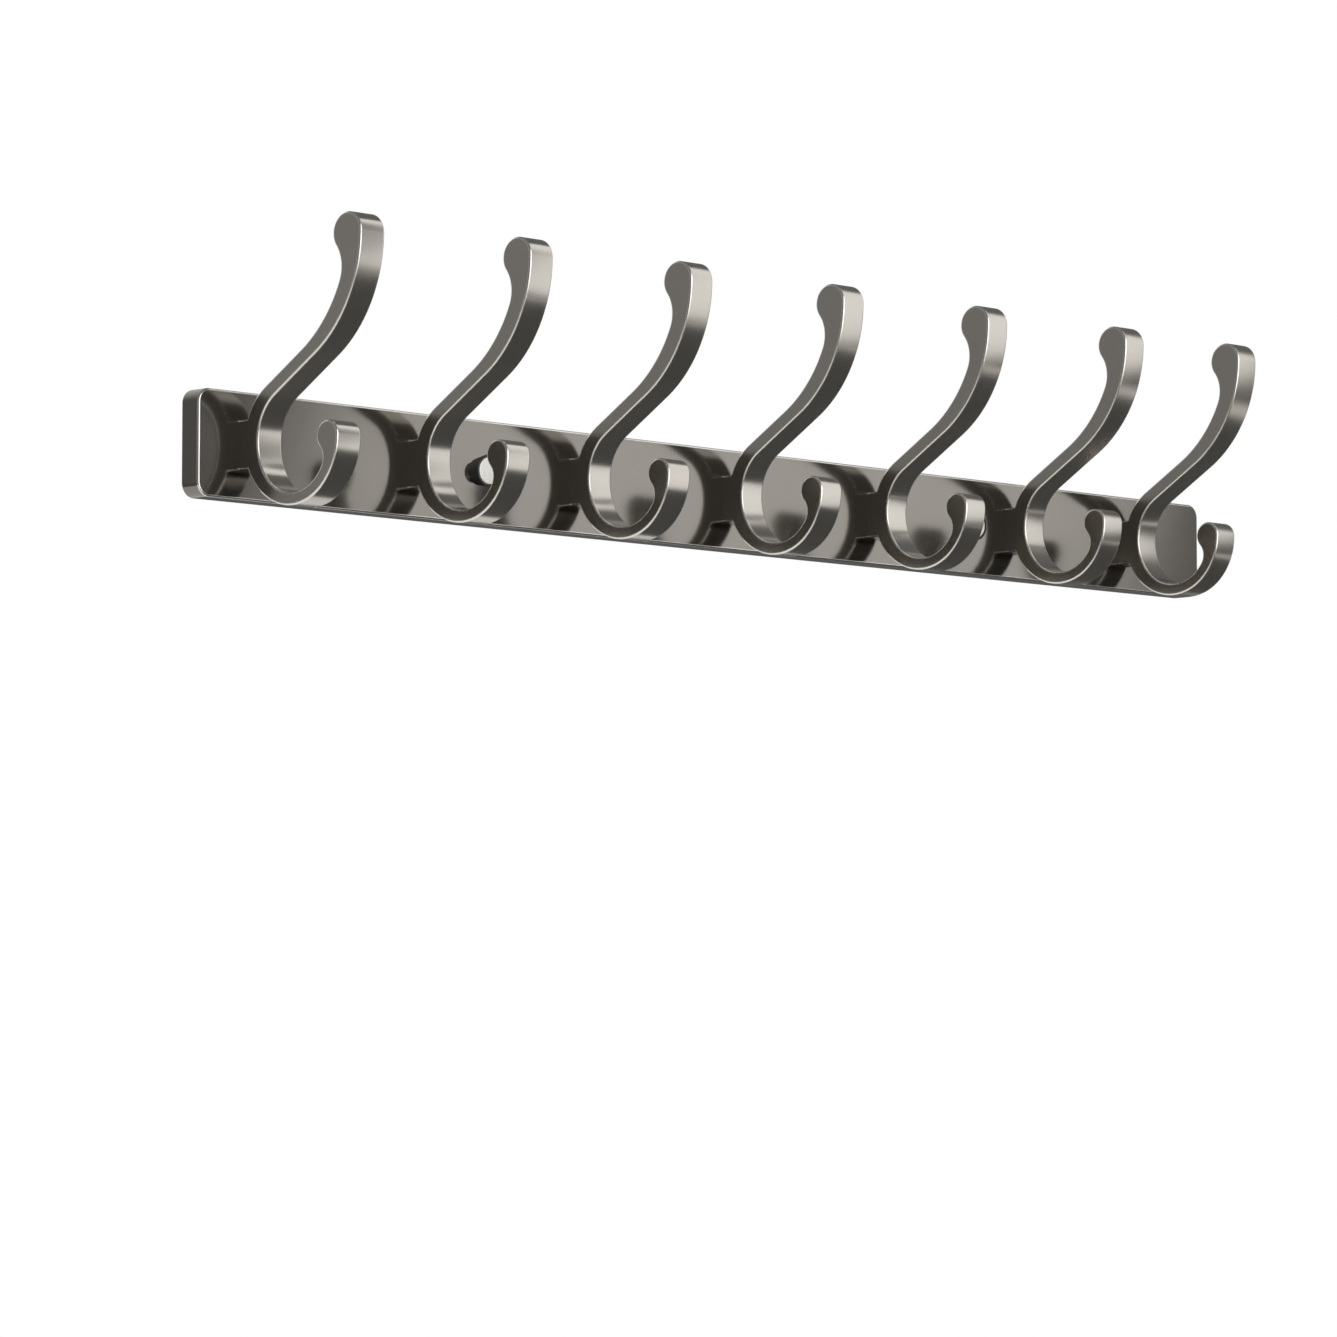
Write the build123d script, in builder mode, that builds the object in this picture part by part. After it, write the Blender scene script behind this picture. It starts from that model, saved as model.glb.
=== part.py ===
from build123d import *
import os

# Door hook rack: a flat metal rail that carries seven two-pronged hooks.
# Millimetres. X runs along the rail to the viewer's right, Z is up and the front faces -Y.
# Y = 0 is the back of the rail, which lies on the wall or the door.
# X = 0 and Z = 0 are the middle between the two wall screws.

# Rail
rail_height = 40.0
rail_depth = 9.0
rail_corner_radius = 5.5
rail_front_chamfer = 0.8
left_margin = 25.0  # from the rail's left end to the first hook
right_margin = 47.0  # from the last hook to the rail's right end

# Hook spacing
even_hook_count = 6
hook_pitch = 85.0
last_gap = 73.0  # the seventh hook stands closer to its neighbour
left_hook_count = 3  # hooks to the left of the one at X = 0

# Hook section, in its own plane: outward from the rail's front, and up
hook_width = 12.0
stem_height = 18.6
stem_overlap = 3.6  # how far the stem runs into the curved strip
strip_back = 3.4  # back of the strip at the stem, from the rail's front
strip_front = 11.0  # front of the strip at the stem
bend_level = 0.5  # height at which both prongs start from the strip

# Upper prong
rise_angle = 59.0  # how far each side turns out from upright, and back again
front_bend_radius = 19.5
front_run = 25.3
front_sweep_radius = 50.0
front_sweep_angle = 58.5
back_bend_radius = 23.4
back_run = 22.8
upper_bulb_radius = 7.5
upper_neck_radius = 12.5

# Lower prong
inner_first_radius = 20.8
inner_first_angle = 44.0
inner_second_radius = 18.4
inner_second_angle = 85.0
outer_first_radius = 22.6
outer_first_angle = 27.0
outer_second_radius = 26.6
outer_second_angle = 78.0
outer_last_radius = 24.0
lower_bulb_radius = 5.6
lower_neck_radius = 6.0

# The screw that holds each hook, driven from the rail's back
hook_screw_shank_radius = 2.45
hook_screw_length = 13.0
hook_screw_head_radius = 4.3
hook_screw_head_height = 2.8
hook_screw_socket_width = 3.0
hook_screw_socket_depth = 1.6
hook_thread_clearance = 0.05
rail_hole_clearance = 0.25
counterbore_clearance = 0.4
counterbore_depth = 4.0
blind_hole_spare = 1.0

# Wall screws, with their cups and caps
wall_screw_span = 278.4
wall_screw_thread_radius = 2.25
wall_screw_neck_radius = 2.0  # the plain part that passes through the rail
wall_screw_reach = 36.0  # how far the thread stands out behind the rail
wall_screw_point = 5.0
wall_screw_point_radius = 0.4
wall_screw_head_radius = 3.9
wall_screw_head_height = 2.6
wall_screw_socket_width = 3.0
wall_screw_socket_depth = 1.6
wall_hole_clearance = 0.25
cup_height = 6.2
cup_base_radius = 5.2
cup_rim_radius = 6.3
cup_floor = 1.4
cup_bore_clearance = 0.3
cap_radius = 5.3
cap_thickness = 1.4
cap_edge_chamfer = 0.3
cap_seat_clearance = 0.05

# Where things come
rail_front = -rail_depth
first_hook_x = -left_hook_count * hook_pitch
hook_positions = [first_hook_x + step * hook_pitch for step in range(even_hook_count)]
hook_positions.append(hook_positions[-1] + last_gap)
rail_left = hook_positions[0] - left_margin
rail_right = hook_positions[-1] + right_margin
rail_length = rail_right - rail_left
rail_middle = (rail_left + rail_right) / 2
wall_screw_positions = {"left": -wall_screw_span / 2, "right": wall_screw_span / 2}
web_back = -counterbore_depth  # Y of the step that a hook screw's head bears on
hook_hole_radius = hook_screw_shank_radius + hook_thread_clearance
rail_hole_radius = hook_screw_shank_radius + rail_hole_clearance
counterbore_radius = hook_screw_head_radius + counterbore_clearance
wall_hole_radius = wall_screw_thread_radius + wall_hole_clearance
hook_hole_depth = hook_screw_length - (rail_depth - counterbore_depth) + blind_hole_spare
cup_front = rail_front - cup_height
cup_bore_radius = wall_screw_head_radius + cup_bore_clearance
screw_head_back = rail_front - cup_floor
screw_head_front = screw_head_back - wall_screw_head_height
cap_back = cup_front + cap_thickness
seat_radius = cap_radius + cap_seat_clearance
hook_half = hook_width / 2

os.makedirs("parts", exist_ok=True)


def facing_front(y, x=0.0, z=0.0):
    """A plane at depth y whose own x is the rail's X, own y is up and own z points forward."""
    return Plane(origin=(x, y, z), x_dir=(1, 0, 0), z_dir=(0, -1, 0))


def facing_back(x):
    """A plane on the rail's back face, whose own z points into the wall."""
    return Plane(origin=(x, 0, 0), x_dir=(1, 0, 0), z_dir=(0, 1, 0))


# Rail
with BuildPart() as rail:
    with BuildSketch(facing_front(0, rail_middle)):
        RectangleRounded(rail_length, rail_height, rail_corner_radius)
    extrude(amount=rail_depth)
    front_face = rail.faces().sort_by(Axis.Y)[0]
    chamfer(front_face.edges(), rail_front_chamfer)
    with Locations(*[facing_back(x) for x in hook_positions]):
        CounterBoreHole(rail_hole_radius, counterbore_radius, counterbore_depth)
    with Locations(*[facing_back(x) for x in wall_screw_positions.values()]):
        Hole(wall_hole_radius)
rail.part.label = "rail"
export_step(rail.part, "parts/rail.step")

# Hooks, each a short length of the same section
for number, hook_x in enumerate(hook_positions, start=1):
    section_plane = Plane(origin=(hook_x, rail_front, 0), x_dir=(0, -1, 0), z_dir=(-1, 0, 0))
    with BuildPart() as hook:
        with BuildSketch(section_plane) as section:
            # Upper prong: tangent arcs and straight runs, the back one ending at its bulb's centre
            with BuildLine():
                f1 = JernArc((strip_front, bend_level), (0, 1), front_bend_radius, -rise_angle)
                f2 = Line(f1 @ 1, (f1 @ 1) + (f1 % 1) * front_run)
                f3 = JernArc(f2 @ 1, f2 % 1, front_sweep_radius, front_sweep_angle)
                b1 = JernArc((strip_back, bend_level), (0, 1), back_bend_radius, -rise_angle)
                b2 = Line(b1 @ 1, (b1 @ 1) + (b1 % 1) * back_run)
                upper_middle = f3 @ 1 + (f3 % 1).rotate(Axis.Z, 90) * upper_bulb_radius
                Line(f3 @ 1, upper_middle)
                TangentArc(b2 @ 1, upper_middle, tangent=b2 % 1)
                Line(b1 @ 0, f1 @ 0)
            make_face()
            # Lower prong: a loop that turns back up, its inner side ending at its bulb's centre
            with BuildLine():
                i1 = JernArc((strip_front, bend_level), (0, -1), inner_first_radius, inner_first_angle)
                i2 = JernArc(i1 @ 1, i1 % 1, inner_second_radius, inner_second_angle)
                o1 = JernArc((strip_back, bend_level), (0, -1), outer_first_radius, outer_first_angle)
                o2 = JernArc(o1 @ 1, o1 % 1, outer_second_radius, outer_second_angle)
                o3 = JernArc(o2 @ 1, o2 % 1, outer_last_radius, 180 - outer_first_angle - outer_second_angle)
                lower_middle = o3 @ 1 + (o3 % 1).rotate(Axis.Z, 90) * lower_bulb_radius
                Line(o3 @ 1, lower_middle)
                TangentArc(i2 @ 1, lower_middle, tangent=i2 % 1)
                Line(o1 @ 0, i1 @ 0)
            make_face()
            # Bulbs at both tips, and the block that stands off the rail
            with Locations(upper_middle):
                Circle(upper_bulb_radius)
            with Locations(lower_middle):
                Circle(lower_bulb_radius)
            # Of the two corners on each bulb, the one away from its smooth outer side is the neck
            upper_corners = section.vertices().sort_by_distance(upper_middle)[:2]
            fillet(upper_corners.sort_by_distance(f3 @ 1)[-1], upper_neck_radius)
            lower_corners = section.vertices().sort_by_distance(lower_middle)[:2]
            fillet(lower_corners.sort_by_distance(o3 @ 1)[-1], lower_neck_radius)
            with Locations(((strip_back + stem_overlap) / 2, 0)):
                Rectangle(strip_back + stem_overlap, stem_height)
        extrude(amount=hook_half, both=True)
        # Blind hole for the screw that comes through the rail
        with BuildSketch(facing_front(rail_front, hook_x)):
            Circle(hook_hole_radius)
        extrude(amount=hook_hole_depth, mode=Mode.SUBTRACT)
    hook.part.label = f"hook_{number}"
    export_step(hook.part, f"parts/hook_{number}.step")

    # The screw behind this hook: head in the counterbore, shank into the stem
    with BuildPart() as hook_screw:
        with BuildSketch(facing_front(web_back, hook_x)):
            Circle(hook_screw_shank_radius)
        extrude(amount=hook_screw_length)
        with BuildSketch(facing_front(web_back, hook_x)):
            Circle(hook_screw_head_radius)
        extrude(amount=-hook_screw_head_height)
        with BuildSketch(facing_front(web_back + hook_screw_head_height, hook_x)):
            RegularPolygon(hook_screw_socket_width / 2, 6, major_radius=False)
        extrude(amount=hook_screw_socket_depth, mode=Mode.SUBTRACT)
    hook_screw.part.label = f"hook_screw_{number}"
    export_step(hook_screw.part, f"parts/hook_screw_{number}.step")

# Wall screws, each with its head hidden in a flared cup that a cap closes
for side, screw_x in wall_screw_positions.items():
    with BuildPart() as wall_screw:
        with BuildSketch(facing_front(screw_head_back, screw_x)):
            Circle(wall_screw_head_radius)
        extrude(amount=wall_screw_head_height)
        with BuildSketch(facing_front(screw_head_back, screw_x)):
            Circle(wall_screw_neck_radius)
        extrude(amount=screw_head_back)
        with BuildSketch(facing_front(0, screw_x)):
            Circle(wall_screw_thread_radius)
        extrude(amount=-wall_screw_reach)
        with BuildSketch(facing_front(screw_head_front, screw_x)):
            RegularPolygon(wall_screw_socket_width / 2, 6, major_radius=False)
        extrude(amount=-wall_screw_socket_depth, mode=Mode.SUBTRACT)
        point_edge = wall_screw.faces().sort_by(Axis.Y)[-1].edges()
        chamfer(point_edge, wall_screw_point, wall_screw_thread_radius - wall_screw_point_radius)
    wall_screw.part.label = f"wall_screw_{side}"
    export_step(wall_screw.part, f"parts/wall_screw_{side}.step")

    # The cup's wall, floor and cap seat, as half a section turned about the screw's axis
    with BuildPart() as screw_cup:
        with BuildSketch(Plane(origin=(screw_x, rail_front, 0), x_dir=(1, 0, 0), z_dir=(0, 0, 1))):
            with BuildLine():
                Polyline(
                    (wall_hole_radius, 0),
                    (cup_base_radius, 0),
                    (cup_rim_radius, -cup_height),
                    (seat_radius, -cup_height),
                    (seat_radius, cap_thickness - cup_height),
                    (cup_bore_radius, cap_thickness - cup_height),
                    (cup_bore_radius, -cup_floor),
                    (wall_hole_radius, -cup_floor),
                    close=True,
                )
            make_face()
        revolve(axis=Axis((screw_x, rail_front, 0), (0, 1, 0)))
    screw_cup.part.label = f"screw_cup_{side}"
    export_step(screw_cup.part, f"parts/screw_cup_{side}.step")

    with BuildPart() as screw_cap:
        with BuildSketch(facing_front(cap_back, screw_x)):
            Circle(cap_radius)
        extrude(amount=cap_thickness)
        chamfer(screw_cap.faces().sort_by(Axis.Y)[0].edges(), cap_edge_chamfer)
    screw_cap.part.label = f"screw_cap_{side}"
    export_step(screw_cap.part, f"parts/screw_cap_{side}.step")
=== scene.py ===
import math

import bmesh
import bpy
from mathutils import Matrix, Vector


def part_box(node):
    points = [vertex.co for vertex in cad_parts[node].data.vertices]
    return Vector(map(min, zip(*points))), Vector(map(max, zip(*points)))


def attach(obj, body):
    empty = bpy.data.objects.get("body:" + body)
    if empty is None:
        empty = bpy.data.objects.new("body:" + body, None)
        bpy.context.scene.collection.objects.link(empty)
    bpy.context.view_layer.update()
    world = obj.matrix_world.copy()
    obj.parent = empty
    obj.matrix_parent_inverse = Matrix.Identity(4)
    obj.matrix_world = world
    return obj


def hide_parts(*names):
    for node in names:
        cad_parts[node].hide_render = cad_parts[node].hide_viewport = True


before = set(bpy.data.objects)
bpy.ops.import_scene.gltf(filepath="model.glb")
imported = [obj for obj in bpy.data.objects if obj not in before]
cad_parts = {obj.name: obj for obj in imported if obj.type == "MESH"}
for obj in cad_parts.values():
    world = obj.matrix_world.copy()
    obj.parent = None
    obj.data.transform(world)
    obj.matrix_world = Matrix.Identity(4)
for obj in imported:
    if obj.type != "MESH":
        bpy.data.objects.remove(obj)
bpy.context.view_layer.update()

bl_info = {
    "name": "Hook Rack Builder",
    "version": (1, 0, 0),
    "blender": (4, 5, 0),
    "location": "3D View > Sidebar > Hook Rack",
    "description": "Builds a wall hook rack: a drilled rail, double hooks, screws, cups and caps",
    "category": "Add Mesh",
}

MM = 0.001
HOOK_SCREWS = sorted(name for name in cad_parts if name.startswith("hook_screw"))
HOOKS = sorted(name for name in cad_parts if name.startswith("hook_") and name not in HOOK_SCREWS)
CUPS = ["screw_cup_left", "screw_cup_right"]
CAPS = ["screw_cap_left", "screw_cap_right"]
WALL_SCREWS = ["wall_screw_left", "wall_screw_right"]

# How finely round shapes are divided, and how far an edge turns before it is shaded as sharp
ARC_STEP = math.radians(2)
CORNER_STEP = math.radians(4)
EDGE_STEPS = 4
SCREW_SIDES = 36
HOLE_SIDES = 64
CUP_SIDES = 72
FLOOR_SIDES = 96
SHARP_TURN = math.radians(32)

# Keeps a sharp corner of an outline from running far when the outline is moved inward
SHORTEST_MITRE = 0.3

# Noise seldom leaves this range, so it is spread from here
NOISE_RANGE = {"From Min": 0.3, "From Max": 0.7}

# The stage: lengths in metres, directions in degrees as direction() takes them, the camera in millimetres
FLOOR_RADIUS = 4.0
FLOOR_DROP = 1.3
CARD_HEIGHTS = range(-78, -17, 6)
CARD_AZIMUTHS = range(52, 215, 6)
CAMERA_PLACE = (-1.67846, -1.63241, -0.25469)
CAMERA_AIM = (45.333, 4.589)
CAMERA_LENS = 158.72
CAMERA_SENSOR = 36.0

# Strength of the plain dome, under which a colour renders about as it is written
PLAIN_LIGHT = 0.95


# Colours and numbers

def linear(hex_colour):
    """An sRGB hex colour as linear red, green and blue."""
    channels = [int(hex_colour[i:i + 2], 16) / 255 for i in (1, 3, 5)]
    return [c / 12.92 if c <= 0.04045 else ((c + 0.055) / 1.055) ** 2.4 for c in channels]


def distance(label, words, millimetres):
    """A length setting, given here in millimetres."""
    return bpy.props.FloatProperty(
        name=label,
        description=words,
        default=millimetres * MM,
        min=0.0,
        precision=5,
        unit="LENGTH",
        subtype="DISTANCE",
    )


def turn(label, words, degrees):
    """An angle setting, given here in degrees."""
    return bpy.props.FloatProperty(
        name=label, description=words, default=math.radians(degrees), subtype="ANGLE"
    )


def colour(label, words, hex_colour):
    """A colour setting, given here as sRGB hex."""
    return bpy.props.FloatVectorProperty(
        name=label, description=words, default=linear(hex_colour), size=3, min=0.0, max=1.0, subtype="COLOR"
    )


class RailSizes(bpy.types.PropertyGroup):
    """Sizes of the rail and of the holes in it."""

    corner: distance("Corner radius", "Radius of the rail's four corners", 5.5)
    edge: distance("Front edge", "Width of the cut edge around the rail's front", 0.8)
    bore_radius: distance("Counterbore radius", "Radius of the bores for the hook screws' heads", 4.7)
    bore_depth: distance("Counterbore depth", "Depth of those bores", 4)
    hole_radius: distance("Screw hole radius", "Holes for the hook screws", 2.7)
    wall_hole_radius: distance("Wall hole radius", "Holes for the wall screws", 2.5)


class HookSizes(bpy.types.PropertyGroup):
    """Sizes of the hook's section, measured outward from the rail's front and up."""

    width: distance("Width", "Width of the hook along the rail", 12)
    edge: distance("Cut edge", "Bevel along both side faces", 0.8)
    stem: distance("Stem height", "Height of the block that stands off the rail", 18.6)
    back: distance("Strip back", "Back of the strip at the stem", 3.4)
    front: distance("Strip front", "Front of the strip at the stem", 11)
    level: bpy.props.FloatProperty(
        name="Bend level",
        description="Height at which both prongs start, above or below the middle",
        default=0.5 * MM,
        precision=5,
        unit="LENGTH",
        subtype="DISTANCE",
    )
    rise: turn("Rise angle", "How far the upper prong leans out", 59)
    front_bend: distance("Front bend", "Radius of the front's first bend", 19.5)
    front_run: distance("Front run", "Straight part of the front", 25.3)
    front_sweep: distance("Front sweep", "Radius of the front's second bend", 50)
    front_turn: turn("Front turn", "Angle of the front's second bend", 58.5)
    back_bend: distance("Back bend", "Radius of the back's first bend", 23.4)
    back_run: distance("Back run", "Straight part of the back", 22.8)
    upper_bulb: distance("Upper bulb", "Radius of the upper tip", 7.5)
    upper_neck: distance("Upper neck", "Hollow radius behind the upper tip", 12.5)
    inner_one: distance("Loop inside, first", "First radius inside the lower loop", 20.8)
    inner_one_turn: turn("Loop inside, first angle", "Angle of that arc", 44)
    inner_two: distance("Loop inside, second", "Second radius inside the lower loop", 18.4)
    inner_two_turn: turn("Loop inside, second angle", "Angle of that arc", 85)
    outer_one: distance("Loop outside, first", "First radius outside the lower loop", 22.6)
    outer_one_turn: turn("Loop outside, first angle", "Angle of that arc", 27)
    outer_two: distance("Loop outside, second", "Second radius outside the lower loop", 26.6)
    outer_two_turn: turn("Loop outside, second angle", "Angle of that arc", 78)
    outer_three: distance("Loop outside, third", "Third radius outside the lower loop", 24)
    lower_bulb: distance("Lower bulb", "Radius of the lower tip", 5.6)
    lower_neck: distance("Lower neck", "Hollow radius behind the lower tip", 6)


class ScrewSizes(bpy.types.PropertyGroup):
    """Sizes of the screws, cups and caps."""

    hook_shank: distance("Hook screw radius", "Outer radius of a hook screw's thread", 2.45)
    hook_core: distance("Hook screw core", "Radius at the thread's root", 2.05)
    hook_head: distance("Hook screw head", "Radius of the head", 4.3)
    hook_head_height: distance("Hook screw head height", "Height of the head", 2.8)
    hook_pitch: distance("Hook screw thread", "Rise of the hook screw's thread in one turn", 0.8)
    socket_width: distance("Socket width", "Width across the flats of the hexagon sockets", 3)
    socket_depth: distance("Socket depth", "Depth of the hexagon sockets", 1.6)
    wall_head: distance("Wall screw head", "Radius of the wall screw's head", 3.9)
    wall_head_height: distance("Wall screw head height", "Height of that head", 2.6)
    wall_thread: distance("Wall screw radius", "Outer radius of the thread", 2.25)
    wall_core: distance("Wall screw core", "Radius at the thread's root", 1.75)
    wall_neck: distance("Wall screw neck", "Plain part through the rail", 2)
    wall_point: distance("Wall screw point", "Length of the tapered point", 5)
    wall_pitch: distance("Thread pitch", "Rise of the thread in one turn", 2)
    cup_base: distance("Cup base", "Radius of the cup at the rail", 5.2)
    cup_rim: distance("Cup rim", "Radius of the cup at its front", 6.3)
    cup_floor: distance("Cup floor", "Thickness of the cup's floor", 1.4)
    cap_radius: distance("Cap radius", "Radius of the cap", 5.3)
    cap_play: distance("Cap play", "Play between the cap and its seat in the cup", 0.05)


class RackColours(bpy.types.PropertyGroup):
    """Colours of the finishes and of the stage."""

    hook: colour("Hooks", "Pearl grey anodised aluminium of the hooks", "#c0bbb3")
    rail: colour("Rail", "Darker anodised aluminium of the rail", "#87837d")
    cut: colour("Hooks' edges", "Bright cut along the hooks' edges", "#e6e2db")
    rail_cut: colour("Rail's edge", "Bright cut round the rail's front", "#dcd8d1")
    cup: colour("Cups", "Black moulded plastic", "#141414")
    cap: colour("Caps", "Brushed zinc", "#d6d5cf")
    steel: colour("Screws", "Zinc plated steel", "#b9bab8")
    floor: colour("Floor", "Pale floor", "#f2f1ee")
    card: colour("Card", "Matt dark card that the metal reflects", "#525252")


SETTINGS = {
    "rack_rail": RailSizes,
    "rack_hook": HookSizes,
    "rack_screw": ScrewSizes,
    "rack_colour": RackColours,
}


# Material nodes

def node(tree, kind, inputs=None, **settings):
    """Adds a node with its settings. An input takes a value or another node's output, by name or number."""
    made = tree.nodes.new(kind)
    for name, value in settings.items():
        setattr(made, name, value)
    for key, value in (inputs or {}).items():
        if isinstance(value, bpy.types.NodeSocket):
            tree.links.new(value, made.inputs[key])
        else:
            made.inputs[key].default_value = value
    return made


def new_material(name):
    """A material with an empty shader that is already linked to the output."""
    material = bpy.data.materials.new(name)
    material.use_nodes = True
    tree = material.node_tree
    tree.nodes.clear()
    shader = node(tree, "ShaderNodeBsdfPrincipled")
    node(tree, "ShaderNodeOutputMaterial", {"Surface": shader.outputs["BSDF"]})
    return material, tree, shader


def opaque(rgb):
    """A colour with full alpha, as colour sockets want it."""
    return (*rgb, 1.0)


def anodised_aluminium(name, rgb, roughness):
    """Aluminium blasted with fine beads and anodised: a soft metal gloss under a very fine, even grain.

    The beads leave dents of about 0.1 mm, too fine to show, so the grain is drawn 0.3 mm wide.
    A slow cloud, 40 mm wide, varies the gloss as handling and the bath do.
    """
    material, tree, shader = new_material(name)
    place = node(tree, "ShaderNodeTexCoord").outputs["Object"]
    fine = {"Vector": place, "Scale": 1 / (0.3 * MM), "Detail": 1.0}
    grain = node(tree, "ShaderNodeTexNoise", fine).outputs["Fac"]
    slow = {"Vector": place, "Scale": 1 / (40 * MM), "Detail": 2.0}
    cloud = node(tree, "ShaderNodeTexNoise", slow).outputs["Fac"]
    shade = {"Value": grain, **NOISE_RANGE, "To Min": 0.95, "To Max": 1.05}
    tone = node(tree, "ShaderNodeMapRange", shade).outputs["Result"]
    tint = node(tree, "ShaderNodeVectorMath", {0: rgb, "Scale": tone}, operation="SCALE")
    gloss = {"Value": cloud, **NOISE_RANGE, "To Min": roughness * 0.93, "To Max": roughness * 1.07}
    haze = node(tree, "ShaderNodeMapRange", gloss)
    bump = node(tree, "ShaderNodeBump", {"Strength": 0.1, "Distance": 0.005 * MM, "Height": grain})
    tree.links.new(tint.outputs["Vector"], shader.inputs["Base Color"])
    tree.links.new(haze.outputs["Result"], shader.inputs["Roughness"])
    tree.links.new(bump.outputs["Normal"], shader.inputs["Normal"])
    shader.inputs["Metallic"].default_value = 1.0
    return material


def cut_aluminium(rgb, roughness):
    """Aluminium cut after anodising: the bare, bright metal of an edge, with faint marks from the cutter.

    Real marks are about 0.05 mm apart, too fine to show. They are drawn 0.4 mm apart, so that the
    bright line isn't quite even.
    """
    material, tree, shader = new_material("Bright cut aluminium")
    place = node(tree, "ShaderNodeTexCoord").outputs["Object"]
    marks = node(tree, "ShaderNodeTexNoise", {"Vector": place, "Scale": 1 / (0.4 * MM), "Detail": 0.0})
    gloss = {"Value": marks.outputs["Fac"], **NOISE_RANGE}
    haze = node(tree, "ShaderNodeMapRange", {**gloss, "To Min": roughness * 0.9, "To Max": roughness * 1.1})
    tree.links.new(haze.outputs["Result"], shader.inputs["Roughness"])
    shader.inputs["Base Color"].default_value = opaque(rgb)
    shader.inputs["Metallic"].default_value = 1.0
    return material


def moulded_plastic(rgb):
    """Black ABS moulded in a spark-textured tool: dull and even, with a soft, broad highlight.

    The pebble that the tool leaves is about 0.3 mm wide.
    """
    material, tree, shader = new_material("Black moulded ABS")
    place = node(tree, "ShaderNodeTexCoord").outputs["Object"]
    pebble = node(tree, "ShaderNodeTexNoise", {"Vector": place, "Scale": 1 / (0.3 * MM), "Detail": 2.0})
    height = {"Strength": 0.3, "Distance": 0.02 * MM, "Height": pebble.outputs["Fac"]}
    bump = node(tree, "ShaderNodeBump", height)
    tree.links.new(bump.outputs["Normal"], shader.inputs["Normal"])
    shader.inputs["Base Color"].default_value = opaque(rgb)
    shader.inputs["Roughness"].default_value = 0.42
    shader.inputs["IOR"].default_value = 1.53
    return material


def brushed_metal(name, rgb, roughness, line_width):
    """Zinc, brushed on a belt or plated over drawn steel: upright hairlines spread the highlight across.

    Real hairlines are about 0.1 mm wide, too fine to show. line_width is the width that they are drawn
    with, in millimetres, and a line is 25 times as long.
    """
    material, tree, shader = new_material(name)
    place = node(tree, "ShaderNodeTexCoord").outputs["Object"]
    squeeze = {"Vector": place, "Scale": (1.0, 1.0, 1 / 25)}
    drawn = node(tree, "ShaderNodeMapping", squeeze).outputs["Vector"]
    hair = {"Vector": drawn, "Scale": 1 / (line_width * MM), "Detail": 2.0}
    lines = node(tree, "ShaderNodeTexNoise", hair)
    gloss = {"Value": lines.outputs["Fac"], **NOISE_RANGE}
    haze = node(tree, "ShaderNodeMapRange", {**gloss, "To Min": roughness * 0.7, "To Max": roughness * 1.3})
    height = {"Strength": 0.2, "Distance": 0.01 * MM, "Height": lines.outputs["Fac"]}
    bump = node(tree, "ShaderNodeBump", height)
    tree.links.new(haze.outputs["Result"], shader.inputs["Roughness"])
    tree.links.new(bump.outputs["Normal"], shader.inputs["Normal"])
    shader.inputs["Base Color"].default_value = opaque(rgb)
    shader.inputs["Metallic"].default_value = 1.0
    return material


# The hook's outline

def ahead(heading):
    """The unit vector along a heading."""
    return Vector((math.cos(heading), math.sin(heading)))


def left_of(heading):
    """The unit vector to the left of a heading."""
    return Vector((-math.sin(heading), math.cos(heading)))


def quarter_left(way):
    """A vector turned left by a quarter."""
    return Vector((-way.y, way.x))


def sweep(centre, radius, first, angle, step=ARC_STEP):
    """Points along an arc, from the first angle through the given angle, both ends included."""
    count = max(2, math.ceil(abs(angle) / step))
    return [centre + radius * ahead(first + angle * i / count) for i in range(count + 1)]


class Path:
    """A chain of tangent arcs and straight runs, which remembers the centres it turned about."""

    def __init__(self, start, heading):
        self.arcs = []
        self.end = Vector(start)
        self.heading = heading

    def bend(self, radius, angle):
        """Turns left by a positive angle, right by a negative one."""
        side = math.copysign(1.0, angle)
        centre = self.end + side * radius * left_of(self.heading)
        spoke = self.end - centre
        first = math.atan2(spoke.y, spoke.x)
        self.arcs.append((centre, radius, first, angle))
        self.end = centre + radius * ahead(first + angle)
        self.heading += angle
        return self

    def run(self, length):
        """Goes straight on."""
        self.arcs.append((self.end.copy(), length, self.heading, None))
        self.end = self.end + length * ahead(self.heading)
        return self

    def reach(self, target):
        """Ends on a point with one arc that stays tangent to the last piece."""
        gap = Vector(target) - self.end
        lean = math.atan2(gap.y, gap.x) - self.heading
        lean = (lean + math.pi) % (2 * math.pi) - math.pi
        return self.bend(gap.length / (2 * abs(math.sin(lean))), 2 * lean)

    def points(self, last_angle=None):
        """The chain's points. last_angle cuts the last arc short."""
        out = []
        for index, (centre, size, first, angle) in enumerate(self.arcs):
            if angle is None:
                out += [centre.copy(), centre + size * ahead(first)]
            else:
                if last_angle is not None and index == len(self.arcs) - 1:
                    angle = last_angle
                out += sweep(centre, size, first, angle)
        return out


def between(first, last):
    """The signed angle from one direction to another, the short way round."""
    return (last - first + math.pi) % (2 * math.pi) - math.pi


def neck(chain, bulb, bulb_radius, radius):
    """Cuts the chain's last arc where a hollow of the given radius leads over to the bulb.

    Gives the cut arc's angle, the hollow's points and the angle on the bulb where it ends.
    """
    centre, size, first, _ = chain.arcs[-1]
    reach_one, reach_two = size - radius, radius + bulb_radius
    gap = bulb - centre
    along = (reach_one ** 2 - reach_two ** 2 + gap.length_squared) / (2 * gap.length)
    across = math.sqrt(reach_one ** 2 - along ** 2)
    unit = gap.normalized()
    middle = centre + unit * along - quarter_left(unit) * across
    touch = middle - centre
    start = math.atan2(touch.y, touch.x)
    last = between(first, start)
    onward = bulb - middle
    hollow = sweep(middle, radius, start, between(start, math.atan2(onward.y, onward.x)))
    return last, hollow, math.atan2(-onward.y, -onward.x)


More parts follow.
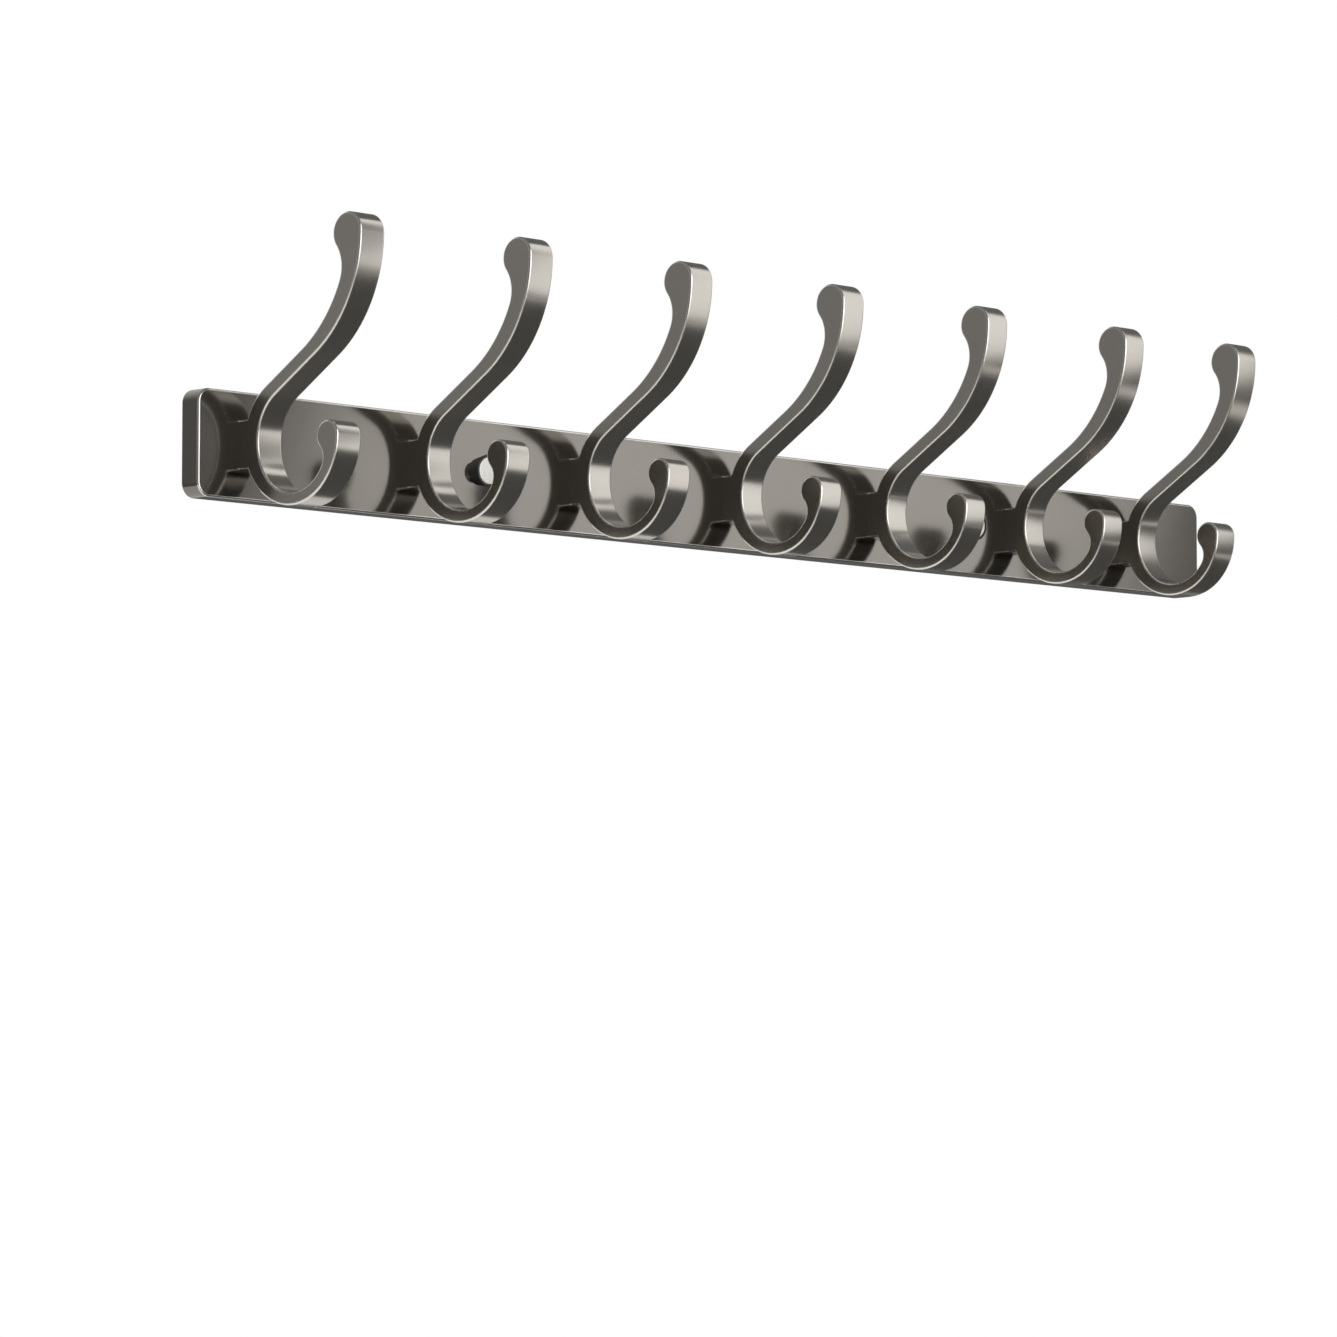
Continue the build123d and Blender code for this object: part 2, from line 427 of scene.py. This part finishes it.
def hook_outline(sizes):
    """The hook's closed outline, anticlockwise, as points outward from the rail and up."""
    up, down = math.radians(90), math.radians(-90)
    front = Path((sizes.front, sizes.level), up).bend(sizes.front_bend, -sizes.rise).run(sizes.front_run)
    front.bend(sizes.front_sweep, sizes.front_turn)
    upper = front.end + sizes.upper_bulb * left_of(front.heading)
    back = Path((sizes.back, sizes.level), up).bend(sizes.back_bend, -sizes.rise).run(sizes.back_run)
    back.reach(upper)
    inner = Path((sizes.front, sizes.level), down).bend(sizes.inner_one, sizes.inner_one_turn)
    inner.bend(sizes.inner_two, sizes.inner_two_turn)
    outer = Path((sizes.back, sizes.level), down).bend(sizes.outer_one, sizes.outer_one_turn)
    outer.bend(sizes.outer_two, sizes.outer_two_turn)
    outer.bend(sizes.outer_three, math.radians(180) - sizes.outer_one_turn - sizes.outer_two_turn)
    lower = outer.end + sizes.lower_bulb * left_of(outer.heading)
    inner.reach(lower)

    back_cut, back_hollow, back_touch = neck(back, upper, sizes.upper_bulb, sizes.upper_neck)
    inner_cut, inner_hollow, inner_touch = neck(inner, lower, sizes.lower_bulb, sizes.lower_neck)
    half = sizes.stem / 2
    below = [p for p in outer.points() if p.y < -half or p.x > sizes.front]
    above = [p for p in back.points(back_cut) if p.y > half]
    low_notch = notch(outer.arcs[0], -half)
    high_notch = notch(back.arcs[0], half)
    lower_start = outer.heading - math.radians(90)
    lower_bulb = sweep(lower, sizes.lower_bulb, lower_start, (inner_touch - lower_start) % math.tau)
    upper_start = front.heading - math.radians(90)
    upper_bulb = sweep(upper, sizes.upper_bulb, upper_start, (back_touch - upper_start) % math.tau)
    outline = [Vector((0, -half)), low_notch, *below, *lower_bulb, *reversed(inner_hollow)]
    outline += [*reversed(inner.points(inner_cut)), *front.points(), *upper_bulb, *reversed(back_hollow)]
    outline += [*reversed(above), high_notch, Vector((0, half))]
    return tidy(outline)


def notch(arc, height):
    """Where the first arc of the strip's back passes a height."""
    centre, radius = arc[0], arc[1]
    return Vector((centre.x - math.sqrt(radius ** 2 - (height - centre.y) ** 2), height))


def tidy(points, gap=0.02 * MM):
    """Drops points that nearly repeat the one before, round the loop."""
    kept = []
    for point in points:
        if not kept or (point - kept[-1]).length > gap:
            kept.append(point)
    if (kept[0] - kept[-1]).length <= gap:
        kept.pop()
    return kept


def inset(points, amount):
    """The outline moved inward by an amount, each corner along its own bisector."""
    moved = []
    for i, point in enumerate(points):
        side = quarter_left((point - points[i - 1]).normalized())
        next_side = quarter_left((points[(i + 1) % len(points)] - point).normalized())
        mitre = (side + next_side).normalized()
        moved.append(point + mitre * (amount / max(SHORTEST_MITRE, mitre.dot(side))))
    return moved


# Mesh pieces

def object_from(name, work, *materials):
    """Turns a bmesh into an object at the origin, smooth apart from its sharp edges."""
    bmesh.ops.recalc_face_normals(work, faces=work.faces)
    for face in work.faces:
        face.smooth = True
    mesh = bpy.data.meshes.new(name)
    work.to_mesh(mesh)
    work.free()
    mesh.set_sharp_from_angle(angle=SHARP_TURN)
    for material in materials:
        mesh.materials.append(material)
    made = bpy.data.objects.new(name, mesh)
    bpy.context.scene.collection.objects.link(made)
    return made


def bridge(work, loops, paint=None, ring=False):
    """Faces between neighbouring loops of vertices. paint gives the material number of each band."""
    bands = zip(loops, loops[1:] + loops[:1]) if ring else zip(loops, loops[1:])
    for number, (one, two) in enumerate(bands):
        for i in range(len(one)):
            j = (i + 1) % len(one)
            face = work.faces.new((one[i], one[j], two[j], two[i]))
            face.material_index = paint[number] if paint else 0


def rounded_edge(edge):
    """Steps of a quarter round: how far it has come forward and how far in, from the side to the face."""
    turns = [math.radians(90) * i / EDGE_STEPS for i in range(EDGE_STEPS + 1)]
    return [(edge * math.sin(a), edge * (1 - math.cos(a))) for a in turns]


def prism(outline, half_width, edge, place):
    """A solid between two copies of an outline, with rounded edges along both.

    place turns (outward, up, along) into a point. The rounded edges get material 1, the rest material 0.
    """
    work = bmesh.new()
    near = [(half_width - edge + forward, inward) for forward, inward in rounded_edge(edge)]
    far = [(-along, inward) for along, inward in reversed(near)]
    loops = []
    for along, inward in far + near:
        points = inset(outline, inward) if inward else outline
        loops.append([work.verts.new(place(p.x, p.y, along)) for p in points])
    bridge(work, loops, [1] * EDGE_STEPS + [0] + [1] * EDGE_STEPS)
    work.faces.new(loops[0][::-1])
    work.faces.new(loops[-1])
    return work


def circle(work, radius, forward, sides):
    """A loop of vertices round the Y axis. radius is a number or a function of the angle."""
    loop = []
    for i in range(sides):
        angle = math.tau * i / sides
        reach = radius(angle) if callable(radius) else radius
        loop.append(work.verts.new((reach * math.cos(angle), -forward, reach * math.sin(angle))))
    return loop


def hexagon(half_width):
    """The distance from the middle to a hexagon's side, at each angle."""
    sixth = math.radians(60)
    return lambda angle: half_width / math.cos((angle + sixth / 2) % sixth - sixth / 2)


def turned(rings, sides, ring=False):
    """A solid turned about the Y axis from (radius, forward) pairs, closed by flat ends or as a ring."""
    work = bmesh.new()
    loops = [circle(work, radius, forward, sides) for radius, forward in rings]
    bridge(work, loops, ring=ring)
    if not ring:
        work.faces.new(loops[0])
        work.faces.new(loops[-1])
    return work


def threaded(core, crest, pitch, start, end, point=0.0):
    """Rings of a screw thread from one depth to another. It grows in at the start and dies out at the end.

    point is the length over which it tapers to the tip, where a fifth of the radius is left.
    """
    # The last two are shares of the ridge's height and of the pitch
    rings_per_turn, tip, last_ridge, half_ridge = 8, 0.2, 0.1, 0.4
    way = math.copysign(1.0, end - start)
    length = abs(end - start)
    count = math.ceil(length / pitch * rings_per_turn)
    rings = []
    for step in range(1, count + 1):
        depth = length * step / count
        taper = min(1.0, tip + (1 - tip) * (length - depth) / point) if point else 1.0
        grow = min(1.0, depth / pitch, (length - depth) / pitch + last_ridge) * taper

        def radius(angle, depth=depth, taper=taper, grow=grow):
            phase = (depth / pitch + angle / math.tau) % 1.0
            return core * taper + (crest - core) * grow * max(0.0, 1 - abs(phase - 0.5) / half_ridge)

        rings.append((radius, start + way * depth))
    return rings


# Geometry Nodes trees

def socket(tree, name, kind, way="INPUT"):
    """Adds a named input or output to a tree and gives its identifier."""
    return tree.interface.new_socket(name=name, in_out=way, socket_type=kind).identifier


def open_tree(name, pieces):
    """A tree with an object input for each named piece, a material and a switch that applies it."""
    tree = bpy.data.node_groups.new(name, "GeometryNodeTree")
    socket(tree, "Geometry", "NodeSocketGeometry")
    keys = {piece: socket(tree, piece, "NodeSocketObject") for piece in pieces}
    keys["Material"] = socket(tree, "Material", "NodeSocketMaterial")
    keys["Painted"] = socket(tree, "Painted", "NodeSocketBool")
    socket(tree, "Geometry", "NodeSocketGeometry", way="OUTPUT")
    return tree, keys, node(tree, "NodeGroupInput").outputs


def close_tree(tree, given, shape):
    """Makes every copy real, gives it the material where the switch is on, and ends the tree."""
    real = node(tree, "GeometryNodeRealizeInstances", {"Geometry": shape}).outputs["Geometry"]
    paint = {"Geometry": real, "Selection": given["Painted"], "Material": given["Material"]}
    painted = node(tree, "GeometryNodeSetMaterial", paint)
    node(tree, "NodeGroupOutput", {"Geometry": painted.outputs["Geometry"]})


def copies_tree():
    """A copy of one piece at each point of the carrier."""
    tree, keys, given = open_tree("Copies at points", ["Piece"])
    piece = node(tree, "GeometryNodeObjectInfo", {"Object": given["Piece"]}).outputs["Geometry"]
    spread = node(tree, "GeometryNodeInstanceOnPoints", {"Points": given["Geometry"], "Instance": piece})
    close_tree(tree, given, spread.outputs["Instances"])
    return tree, keys


def drill_tree():
    """Cuts the hook screws' bores and the wall screws' holes out of the carrier."""
    cutters = ["Hook Cutters", "Wall Cutters"]
    tree, keys, given = open_tree("Drilled bar", cutters)
    bar = {"Mesh 1": given["Geometry"]}
    cut = node(tree, "GeometryNodeMeshBoolean", bar, operation="DIFFERENCE", solver="EXACT")
    for name in cutters:
        cutter = node(tree, "GeometryNodeObjectInfo", {"Object": given[name]})
        tree.links.new(cutter.outputs["Geometry"], cut.inputs["Mesh 2"])
    close_tree(tree, given, cut.outputs["Mesh"])
    return tree, keys


def frozen(piece):
    """Gives a piece its evaluated mesh and takes its modifier away."""
    bpy.context.view_layer.update()
    seen = piece.evaluated_get(bpy.context.evaluated_depsgraph_get())
    mesh = bpy.data.meshes.new_from_object(seen)
    piece.modifiers.clear()
    old = piece.data
    piece.data = mesh
    bpy.data.meshes.remove(old)
    mesh.name = piece.name
    return piece


def grown(name, base, tree, values):
    """Runs a tree on a mesh and keeps the result as a plain mesh object."""
    made = bpy.data.objects.new(name, base)
    bpy.context.scene.collection.objects.link(made)
    modifier = made.modifiers.new("Nodes", "NODES")
    modifier.node_group = tree
    for key, value in values.items():
        modifier[key] = value
    return frozen(made)


def weigh_normals(piece):
    """Lets the large faces lead the shading, so that rounded edges don't bend the look of flat ones."""
    modifier = piece.modifiers.new("Weighted normals", "WEIGHTED_NORMAL")
    modifier.keep_sharp = True
    modifier.weight = 100
    return frozen(piece)


def copies(name, source, nodes, material=None):
    """A copy of a source object, which is then removed, at the middle of each CAD node along the rail."""
    points = [((low.x + high.x) / 2, 0, 0) for low, high in map(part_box, nodes)]
    base = bpy.data.meshes.new(name)
    base.from_pydata(points, [], [])
    tree, keys = copies_tree()
    values = {keys["Piece"]: source, keys["Painted"]: material is not None}
    if material:
        values[keys["Material"]] = material
    made = grown(name, base, tree, values)
    bpy.data.objects.remove(source)
    return made


def settle(piece, nodes):
    """Weighs a finished piece's normals, gives it its body and hides the CAD nodes that it stands for."""
    weigh_normals(piece)
    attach(piece, "root")
    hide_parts(*nodes)


def depth_of(name):
    """How far a CAD node's back and front stand forward of the wall."""
    low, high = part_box(name)
    return -high.y, -low.y


# Operators

class RACK_OT_hooks(bpy.types.Operator):
    """Build one hook from its outline and repeat it along the rail."""

    bl_idname = "rack.hooks"
    bl_label = "Hooks"

    def execute(self, context):
        sizes, colours = context.scene.rack_hook, context.scene.rack_colour
        skin = anodised_aluminium("Pearl grey anodised aluminium", colours.hook, roughness=0.2)
        cut = cut_aluminium(colours.cut, roughness=0.25)
        front = depth_of("rail")[1]

        def place(out, up, along):
            return (along, -front - out, up)

        # The foot runs into the rail, so that its rounded edge leaves no bright seam there
        outline = [Vector((-sizes.edge, p.y)) if p.x == 0 else p for p in hook_outline(sizes)]
        work = prism(outline, sizes.width / 2, sizes.edge, place)
        row = copies("hooks", object_from("hook source", work, skin, cut), HOOKS)
        settle(row, HOOKS)
        return {"FINISHED"}


class RACK_OT_rail(bpy.types.Operator):
    """Build the rail with its rounded corners and cut front edge, then drill it."""

    bl_idname = "rack.rail"
    bl_label = "Rail"

    def execute(self, context):
        sizes, colours = context.scene.rack_rail, context.scene.rack_colour
        skin = anodised_aluminium("Dark pearl anodised aluminium", colours.rail, roughness=0.13)
        cut = cut_aluminium(colours.rail_cut, roughness=0.2)
        low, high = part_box("rail")
        bar = object_from("rail bar", self.bar(sizes, low, high), skin, cut)
        bores = copies("hook cutters", object_from("bore", self.bore(sizes, -low.y)), HOOK_SCREWS)
        through = [(sizes.wall_hole_radius, low.y), (sizes.wall_hole_radius, -2 * low.y)]
        holes = copies("wall cutters", object_from("hole", turned(through, HOLE_SIDES)), WALL_SCREWS)
        tree, keys = drill_tree()
        values = {keys["Hook Cutters"]: bores, keys["Wall Cutters"]: holes, keys["Painted"]: False}
        rail = grown("rail_bar", bar.data.copy(), tree, values)
        for used in (bar, bores, holes):
            bpy.data.objects.remove(used)
        rail.data.set_sharp_from_angle(angle=SHARP_TURN)
        settle(rail, ["rail"])
        return {"FINISHED"}

    def bar(self, sizes, low, high):
        """The plain bar: a rounded oblong as deep as the rail, with a narrow cut edge round its front."""
        outline = []
        corners = ((high.x, low.z, -90), (high.x, high.z, 0), (low.x, high.z, 90), (low.x, low.z, 180))
        for x, z, start in corners:
            middle = Vector((x - math.copysign(sizes.corner, x), z - math.copysign(sizes.corner, z)))
            outline += sweep(middle, sizes.corner, math.radians(start), math.radians(90), CORNER_STEP)
        work = bmesh.new()
        rings = [(0.0, 0.0)]
        rings += [(-low.y - sizes.edge + forward, inward) for forward, inward in rounded_edge(sizes.edge)]
        loops = []
        for forward, inward in rings:
            points = inset(outline, inward) if inward else outline
            loops.append([work.verts.new((p.x, -forward, p.y)) for p in points])
        bridge(work, loops, [0] + [1] * EDGE_STEPS)
        work.faces.new(loops[0])
        work.faces.new(loops[-1])
        return work

    def bore(self, sizes, depth):
        """A counterbore from the back with its screw hole, as one turned cutter that passes both faces."""
        rings = [(sizes.bore_radius, -depth), (sizes.bore_radius, sizes.bore_depth)]
        rings += [(sizes.hole_radius, sizes.bore_depth), (sizes.hole_radius, 2 * depth)]
        return turned(rings, HOLE_SIDES)


class RACK_OT_hook_screws(bpy.types.Operator):
    """Build the socket screw behind a hook and repeat it along the rail."""

    bl_idname = "rack.hook_screws"
    bl_label = "Hook screws"

    def execute(self, context):
        sizes, colours = context.scene.rack_screw, context.scene.rack_colour
        steel = brushed_metal("Zinc plated screw steel", colours.steel, roughness=0.3, line_width=0.4)
        back, end = depth_of(HOOK_SCREWS[0])
        seat = back + sizes.hook_head_height
        soft = 0.3 * MM
        flats = hexagon(sizes.socket_width / 2)
        core = sizes.hook_core
        rings = [(flats, back + sizes.socket_depth), (flats, back), (sizes.hook_head - soft, back)]
        rings += [(sizes.hook_head, back + soft), (sizes.hook_head, seat), (core, seat)]
        rings += threaded(core, sizes.hook_shank, sizes.hook_pitch, seat, end)
        source = object_from("hook screw source", turned(rings, SCREW_SIDES))
        settle(copies("hook_screw_row", source, HOOK_SCREWS, steel), HOOK_SCREWS)
        return {"FINISHED"}


class RACK_OT_wall_screws(bpy.types.Operator):
    """Build the wall screw with its point and thread, and place both."""

    bl_idname = "rack.wall_screws"
    bl_label = "Wall screws"

    def execute(self, context):
        sizes, colours = context.scene.rack_screw, context.scene.rack_colour
        name = "Zinc plated wall screw steel"
        steel = brushed_metal(name, colours.steel, roughness=0.3, line_width=0.4)
        tip, front = depth_of(WALL_SCREWS[0])
        seat = front - sizes.wall_head_height
        soft = 0.4 * MM
        flats = hexagon(sizes.socket_width / 2)
        rings = [(flats, front - sizes.socket_depth), (flats, front), (sizes.wall_head - soft, front)]
        rings += [(sizes.wall_head, front - soft), (sizes.wall_head, seat), (sizes.wall_neck, seat)]
        rings += [(sizes.wall_neck, 0.0), (sizes.wall_core, -soft)]
        pitch, point = sizes.wall_pitch, sizes.wall_point
        rings += threaded(sizes.wall_core, sizes.wall_thread, pitch, -soft, tip, point)
        source = object_from("wall screw source", turned(rings, SCREW_SIDES))
        settle(copies("wall_screw_row", source, WALL_SCREWS, steel), WALL_SCREWS)
        return {"FINISHED"}


class RACK_OT_cups(bpy.types.Operator):
    """Build the flared cup and the cap that closes it, and place both of each."""

    bl_idname = "rack.cups"
    bl_label = "Screw cups and caps"

    def execute(self, context):
        sizes, colours = context.scene.rack_screw, context.scene.rack_colour
        plastic = moulded_plastic(colours.cup)
        zinc = brushed_metal("Brushed zinc", colours.cap, roughness=0.26, line_width=0.5)
        cups = copies("cup_row", object_from("cup source", self.cup(sizes)), CUPS, plastic)
        settle(cups, CUPS)
        caps = copies("cap_row", object_from("cap source", self.cap(sizes)), CAPS, zinc)
        settle(caps, CAPS)
        # The real rail shows no mirror image of them
        for row in (cups, caps):
            row.visible_glossy = False
        return {"FINISHED"}

    def cup(self, sizes):
        """A flared wall with a soft lip, a seat for the cap, a bore for the screw's head and a floor."""
        base, top = depth_of(CUPS[0])
        low = depth_of(CAPS[0])[0]
        hole, bore = sizes.wall_neck + 0.5 * MM, sizes.wall_head + 0.3 * MM
        seat = sizes.cap_radius + sizes.cap_play
        soft = 0.25 * MM
        rings = [(hole, base), (sizes.cup_base, base), (sizes.cup_rim - 0.02 * MM, top - soft)]
        rings += [(sizes.cup_rim - soft * 0.3, top - soft * 0.3), (sizes.cup_rim - soft, top)]
        rings += [(seat + soft * 0.6, top), (seat, top - soft * 0.6), (seat, low), (bore, low)]
        rings += [(bore, base + sizes.cup_floor), (hole, base + sizes.cup_floor)]
        return turned(rings, CUP_SIDES, ring=True)

    def cap(self, sizes):
        """A disc with a softened front edge."""
        low, top = depth_of(CAPS[0])
        radius, soft = sizes.cap_radius, 0.3 * MM
        rings = [(radius, low)]
        rings += [(radius - inward, top - soft + forward) for forward, inward in rounded_edge(soft)]
        return turned(rings, CUP_SIDES)


class RACK_OT_stage(bpy.types.Operator):
    """Build the floor, the light and the camera."""

    bl_idname = "rack.stage"
    bl_label = "Stage, light and camera"

    def execute(self, context):
        self.floor(context.scene.rack_colour)
        self.dark_card(context.scene.rack_colour)
        self.surroundings(context)
        self.softbox(context, way=direction(130, 21), away=1.5, size=(0.55, 2.26), strength=1.15, tilt=-17)
        self.camera(context)
        return {"FINISHED"}

    def floor(self, colours):
        """A round pale floor well below the rack, which keeps its soft shadow."""
        work = bmesh.new()
        bmesh.ops.create_circle(work, cap_ends=True, segments=FLOOR_SIDES, radius=FLOOR_RADIUS)
        bmesh.ops.translate(work, verts=work.verts, vec=(0, 0, -FLOOR_DROP))
        material, _, shader = new_material("Matt painted board")
        shader.inputs["Base Color"].default_value = opaque(colours.floor)
        shader.inputs["Roughness"].default_value = 0.8
        object_from("floor", work, material)

    def dark_card(self, colours):
        """A curved dark card, low in front, which metal reflects as a dark band. Nothing else sees it."""
        work = bmesh.new()
        rows = []
        for height in CARD_HEIGHTS:
            rows.append([work.verts.new(direction(azimuth, height)) for azimuth in CARD_AZIMUTHS])
        for low, high in zip(rows, rows[1:]):
            for i in range(len(low) - 1):
                work.faces.new((low[i], low[i + 1], high[i + 1], high[i]))
        material, _, shader = new_material("Matt black card")
        shader.inputs["Base Color"].default_value = opaque(colours.card)
        shader.inputs["Roughness"].default_value = 0.9
        card = object_from("black card", work, material)
        card.visible_camera = False
        card.visible_diffuse = False
        card.visible_shadow = False

    def surroundings(self, context):
        """White for the camera, a dim studio with paper behind for metal, and a plain dome for the rest."""
        world = bpy.data.worlds.new("Studio")
        context.scene.world = world
        world.use_nodes = True
        tree = world.node_tree
        tree.nodes.clear()
        way = node(tree, "ShaderNodeTexCoord").outputs["Generated"]
        height = node(tree, "ShaderNodeSeparateXYZ", {"Vector": way}).outputs["Z"]
        # The room is darker towards the ground
        rise = {"Value": height, "From Min": -0.6, "From Max": 0.1, "To Min": 0.05, "To Max": 0.16}
        room = node(tree, "ShaderNodeMapRange", rise, interpolation_type="SMOOTHSTEP").outputs["Result"]
        fill = self.glow(tree, way, middle=direction(176, 6), spread=(19, 36), strength=2.0)
        back = self.glow(tree, way, middle=direction(-45, 8), spread=(25, 50), strength=0.08)
        paper = self.glow(tree, way, middle=direction(3, 12), spread=(24, 43), strength=1.0)
        both = node(tree, "ShaderNodeMath", {0: fill, 1: back}, operation="ADD").outputs["Value"]
        dim = node(tree, "ShaderNodeMath", {0: room, 1: both}, operation="ADD").outputs["Value"]
        studio = node(tree, "ShaderNodeMath", {0: dim, 1: paper}, operation="MAXIMUM").outputs["Value"]
        ray = node(tree, "ShaderNodeLightPath").outputs
        metal = {0: ray["Is Glossy Ray"], 2: PLAIN_LIGHT, 3: studio}
        level = node(tree, "ShaderNodeMix", metal).outputs[0]
        clear = {0: ray["Is Camera Ray"], 1: ray["Is Transmission Ray"]}
        seen = node(tree, "ShaderNodeMath", clear, operation="MAXIMUM").outputs["Value"]
        strength = node(tree, "ShaderNodeMix", {0: seen, 2: level, 3: 1.0}).outputs[0]
        sky = node(tree, "ShaderNodeBackground", {"Color": (1.0, 1.0, 1.0, 1.0), "Strength": strength})
        node(tree, "ShaderNodeOutputWorld", {"Surface": sky.outputs["Background"]})

    def glow(self, tree, way, middle, spread, strength):
        """A round soft glow on the sky: full inside the first angle of its spread, gone past the second."""
        aim = {0: way, 1: middle}
        near = node(tree, "ShaderNodeVectorMath", aim, operation="DOT_PRODUCT").outputs["Value"]
        full, gone = (math.cos(math.radians(angle)) for angle in spread)
        fade = {"Value": near, "From Min": gone, "From Max": full, "To Min": 0.0, "To Max": strength}
        return node(tree, "ShaderNodeMapRange", fade, interpolation_type="SMOOTHSTEP").outputs["Result"]

    def softbox(self, context, way, away, size, strength, tilt):
        """A leaning strip light that faces the rack. strength is its brightness as metal reflects it."""
        light = bpy.data.lights.new("Leaning strip softbox", "AREA")
        light.shape = "RECTANGLE"
        light.size, light.size_y = size
        light.energy = strength * math.pi * size[0] * size[1]
        made = bpy.data.objects.new("Leaning strip softbox", light)
        made.location = way * away
        facing = (-way).to_track_quat("-Z", "Y").to_matrix()
        made.rotation_euler = (facing @ Matrix.Rotation(math.radians(tilt), 3, "Z")).to_euler()
        context.scene.collection.objects.link(made)

    def camera(self, context):
        """A long lens from the left and a little below."""
        data = bpy.data.cameras.new("Camera")
        data.sensor_width = CAMERA_SENSOR
        data.lens = CAMERA_LENS
        made = bpy.data.objects.new("Camera", data)
        made.location = CAMERA_PLACE
        made.rotation_euler = direction(*CAMERA_AIM).to_track_quat("-Z", "Y").to_euler()
        context.scene.collection.objects.link(made)
        context.scene.camera = made
        context.scene.view_settings.view_transform = "Standard"


def direction(azimuth, height):
    """The way to a point in the surroundings: degrees clockwise from +Y seen from above, and degrees up."""
    round_about, lift = math.radians(azimuth), math.radians(height)
    level = math.cos(lift)
    return Vector((math.sin(round_about) * level, math.cos(round_about) * level, math.sin(lift)))


class RACK_PT_panel(bpy.types.Panel):
    """Lists the rack's building steps and settings."""

    bl_idname = "RACK_PT_panel"
    bl_label = "Hook Rack"
    bl_space_type = "VIEW_3D"
    bl_region_type = "UI"
    bl_category = "Hook Rack"

    def draw(self, context):
        for operator in OPERATORS:
            self.layout.operator(operator.bl_idname)
        for name, group in SETTINGS.items():
            box = self.layout.box()
            box.label(text=group.__doc__.split(",")[0].rstrip("."))
            for key in group.__annotations__:
                box.prop(getattr(context.scene, name), key)


OPERATORS = (
    RACK_OT_hooks,
    RACK_OT_rail,
    RACK_OT_hook_screws,
    RACK_OT_wall_screws,
    RACK_OT_cups,
    RACK_OT_stage,
)


def register():
    for group in (*SETTINGS.values(), *OPERATORS, RACK_PT_panel):
        bpy.utils.register_class(group)
    for name, group in SETTINGS.items():
        setattr(bpy.types.Scene, name, bpy.props.PointerProperty(type=group))


def unregister():
    for name in SETTINGS:
        delattr(bpy.types.Scene, name)
    for group in reversed((*SETTINGS.values(), *OPERATORS, RACK_PT_panel)):
        bpy.utils.unregister_class(group)


def main():
    """Builds everything in order."""
    register()
    for operator in OPERATORS:
        group, name = operator.bl_idname.split(".")
        getattr(getattr(bpy.ops, group), name)()


if __name__ == "__main__":
    main()
